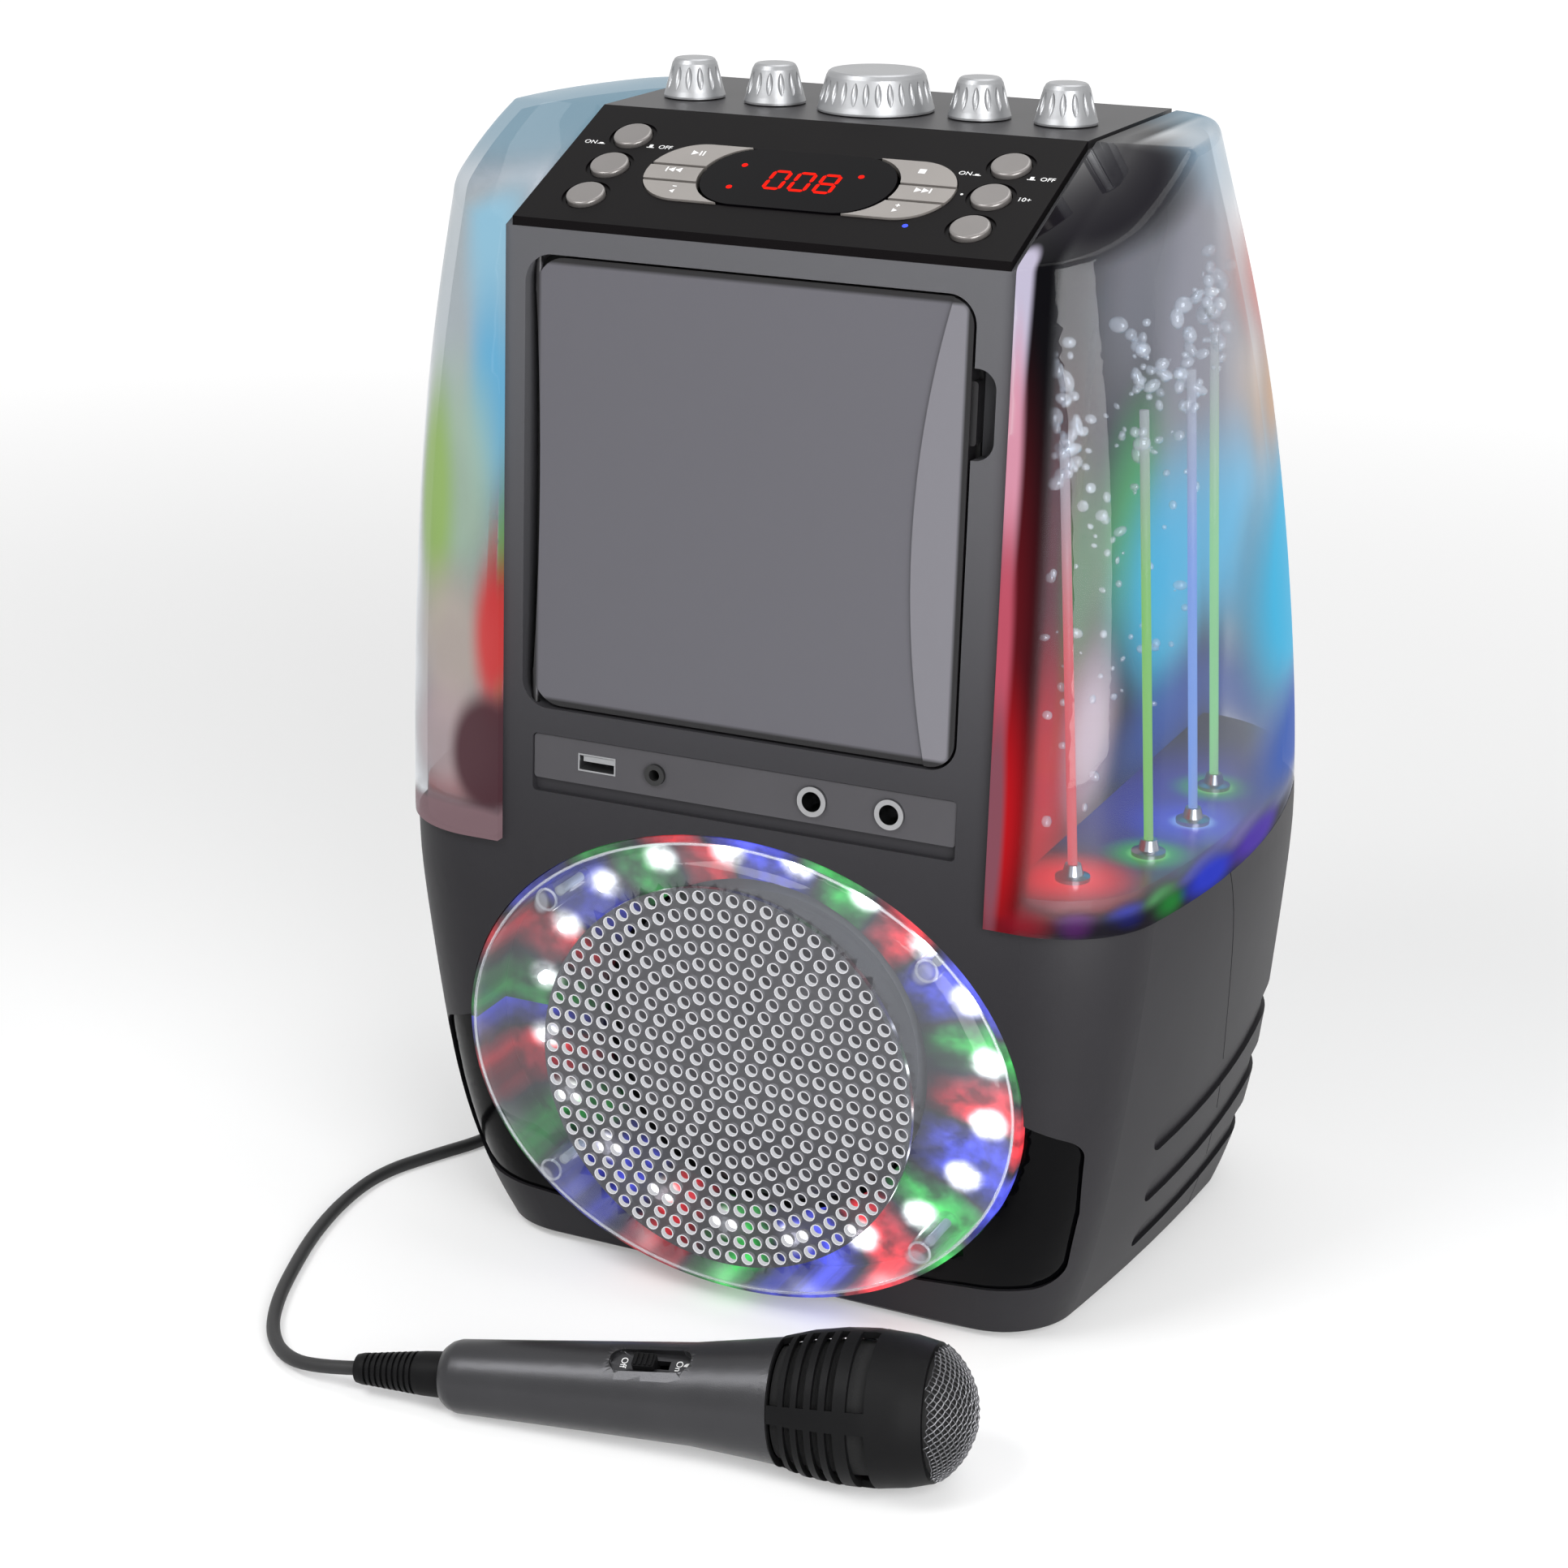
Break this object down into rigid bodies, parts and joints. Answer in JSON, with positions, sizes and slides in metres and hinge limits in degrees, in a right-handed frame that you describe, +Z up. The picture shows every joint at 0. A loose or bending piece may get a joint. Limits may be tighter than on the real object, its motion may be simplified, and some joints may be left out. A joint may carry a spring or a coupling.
{
  "type": "karaoke machine",
  "caption": "Karaoke disc player on a wide speaker base, between two clear water tanks with lit fountain jets, with a corded microphone.",
  "frame": {"origin": "middle of the footprint of the machine and its microphone, on the table", "axes": "+Z up, the front panel and microphone face -Y, +X to the right of someone who looks at the front"},
  "size_m": [0.2927, 0.3877, 0.388],
  "materials": {
    "body": "charcoal satin ABS",
    "panel_black": "black satin",
    "trim_black": "glossy black",
    "door": "satin grey",
    "strip": "satin grey",
    "tank_clear": "clear polystyrene",
    "lens_clear": "clear dome",
    "window": "smoked window",
    "inner_white": "bright reflector",
    "inner_black": "plain",
    "led": "clear lens",
    "steel": "zinc",
    "chrome": "nickel",
    "board": "printed board",
    "paper_cone": "black paper",
    "button": "warm grey",
    "knob": "silver satin",
    "rubber": "soft",
    "mic_paint": "sandpaper metallic",
    "mesh": "woven wire",
    "well": "black"
  },
  "bodies": {
    "cabinet": {"front_shell": "body", "rear_shell": "body", "control_panel": "panel_black", "top_panel": "panel_black", "display_window": "window", "control_board": "board", "left_tank": "tank_clear", "right_tank": "tank_clear", "left_fountain_floor": "tank_clear", "right_fountain_floor": "tank_clear", "fountain_nozzles": "led", "fountain_pumps": "inner_black", "fountain_leds": "led", "speaker_lens": "lens_clear", "lens_screws": "steel", "speaker_reflector": "inner_white", "disco_leds": "led", "speaker_basket": "inner_black", "speaker_magnet": "steel", "lower_trim": "trim_black", "jack_panel": "strip", "mic_jacks": "chrome", "line_in_jack": "chrome", "usb_port": "steel", "disc_well": "well", "potentiometers": "steel", "main_board": "board", "rear_sockets": "inner_black", "case_screws": "steel", "feet": "rubber", "mic_handle": "mic_paint", "mic_head": "mic_paint", "mic_grille": "mesh", "mic_strain_relief": "rubber", "mic_cable": "rubber", "mic_cable_coil": "rubber", "mic_plug": "chrome"},
    "disc_door_body": {"disc_door": "door"},
    "spindle_body": {"spindle": "inner_black"},
    "laser_sled_body": {"laser_sled": "inner_black"},
    "mic_switch_body": {"mic_switch": "inner_black"},
    "speaker_cone_body": {"speaker_cone": "paper_cone"},
    "repeat_button_body": {"repeat_button": "button"},
    "function_button_body": {"function_button": "button"},
    "power_button_body": {"power_button": "button"},
    "pairing_button_body": {"pairing_button": "button"},
    "ten_plus_button_body": {"ten_plus_button": "button"},
    "disco_light_button_body": {"disco_light_button": "button"},
    "key_down_key_body": {"key_down_key": "button"},
    "previous_key_body": {"previous_key": "button"},
    "play_key_body": {"play_key": "button"},
    "key_up_key_body": {"key_up_key": "button"},
    "next_key_body": {"next_key": "button"},
    "stop_key_body": {"stop_key": "button"},
    "mic_1_knob_body": {"mic_1_knob": "knob"},
    "mic_2_knob_body": {"mic_2_knob": "knob"},
    "volume_knob_body": {"volume_knob": "knob"},
    "echo_knob_body": {"echo_knob": "knob"},
    "balance_knob_body": {"balance_knob": "knob"}
  },
  "joints": [
    {"name": "door_hinge", "type": "hinge", "parent": "cabinet", "child": "disc_door_body", "pos_m": [-0.07305, -0.03805, 0.26697], "axis": [0, -0.0523, -0.9986], "range_deg": [0, 90]},
    {"name": "spindle_spin", "type": "hinge", "parent": "cabinet", "child": "spindle_body", "pos_m": [-0.0025, -0.04054, 0.2671], "axis": [0, -0.9986, 0.0523], "continuous": true},
    {"name": "sled_slide", "type": "slide", "parent": "cabinet", "child": "laser_sled_body", "axis": [0, -0.0523, -0.9986], "range_m": [0, 0.022]},
    {"name": "mic_1_knob_turn", "type": "hinge", "parent": "cabinet", "child": "mic_1_knob_body", "pos_m": [-0.0635, 0.05192, 0.375], "axis": [0, 0, 1], "range_deg": [-150, 150]},
    {"name": "mic_2_knob_turn", "type": "hinge", "parent": "cabinet", "child": "mic_2_knob_body", "pos_m": [-0.035, 0.05192, 0.375], "axis": [0, 0, 1], "range_deg": [-150, 150]},
    {"name": "volume_knob_turn", "type": "hinge", "parent": "cabinet", "child": "volume_knob_body", "pos_m": [0, 0.05192, 0.375], "axis": [0, 0, 1], "range_deg": [-150, 150]},
    {"name": "echo_knob_turn", "type": "hinge", "parent": "cabinet", "child": "echo_knob_body", "pos_m": [0.035, 0.05192, 0.375], "axis": [0, 0, 1], "range_deg": [-150, 150]},
    {"name": "balance_knob_turn", "type": "hinge", "parent": "cabinet", "child": "balance_knob_body", "pos_m": [0.0635, 0.05192, 0.375], "axis": [0, 0, 1], "range_deg": [-150, 150]},
    {"name": "repeat_button_press", "type": "slide", "parent": "cabinet", "child": "repeat_button_body", "axis": [0, 0.3995, -0.9168], "range_m": [0, 0.001], "stiffness_N_per_m": 500},
    {"name": "function_button_press", "type": "slide", "parent": "cabinet", "child": "function_button_body", "axis": [0, 0.3995, -0.9168], "range_m": [0, 0.001], "stiffness_N_per_m": 500},
    {"name": "power_button_press", "type": "slide", "parent": "cabinet", "child": "power_button_body", "axis": [0, 0.3995, -0.9168], "range_m": [0, 0.002]},
    {"name": "pairing_button_press", "type": "slide", "parent": "cabinet", "child": "pairing_button_body", "axis": [0, 0.3995, -0.9168], "range_m": [0, 0.001], "stiffness_N_per_m": 500},
    {"name": "ten_plus_button_press", "type": "slide", "parent": "cabinet", "child": "ten_plus_button_body", "axis": [0, 0.3995, -0.9168], "range_m": [0, 0.001], "stiffness_N_per_m": 500},
    {"name": "disco_light_button_press", "type": "slide", "parent": "cabinet", "child": "disco_light_button_body", "axis": [0, 0.3995, -0.9168], "range_m": [0, 0.002]},
    {"name": "key_down_key_press", "type": "slide", "parent": "cabinet", "child": "key_down_key_body", "axis": [0, 0.3995, -0.9168], "range_m": [0, 0.001], "stiffness_N_per_m": 500},
    {"name": "previous_key_press", "type": "slide", "parent": "cabinet", "child": "previous_key_body", "axis": [0, 0.3995, -0.9168], "range_m": [0, 0.001], "stiffness_N_per_m": 500},
    {"name": "play_key_press", "type": "slide", "parent": "cabinet", "child": "play_key_body", "axis": [0, 0.3995, -0.9168], "range_m": [0, 0.001], "stiffness_N_per_m": 500},
    {"name": "key_up_key_press", "type": "slide", "parent": "cabinet", "child": "key_up_key_body", "axis": [0, 0.3995, -0.9168], "range_m": [0, 0.001], "stiffness_N_per_m": 500},
    {"name": "next_key_press", "type": "slide", "parent": "cabinet", "child": "next_key_body", "axis": [0, 0.3995, -0.9168], "range_m": [0, 0.001], "stiffness_N_per_m": 500},
    {"name": "stop_key_press", "type": "slide", "parent": "cabinet", "child": "stop_key_body", "axis": [0, 0.3995, -0.9168], "range_m": [0, 0.001], "stiffness_N_per_m": 500},
    {"name": "mic_switch_slide", "type": "slide", "parent": "cabinet", "child": "mic_switch_body", "axis": [0.9842, 0.1524, 0.0903], "range_m": [0, 0.004]},
    {"name": "cone_stroke", "type": "slide", "parent": "cabinet", "child": "speaker_cone_body", "axis": [0, -1, 0], "range_m": [-0.0015, 0.0015], "stiffness_N_per_m": 2000}
  ]
}
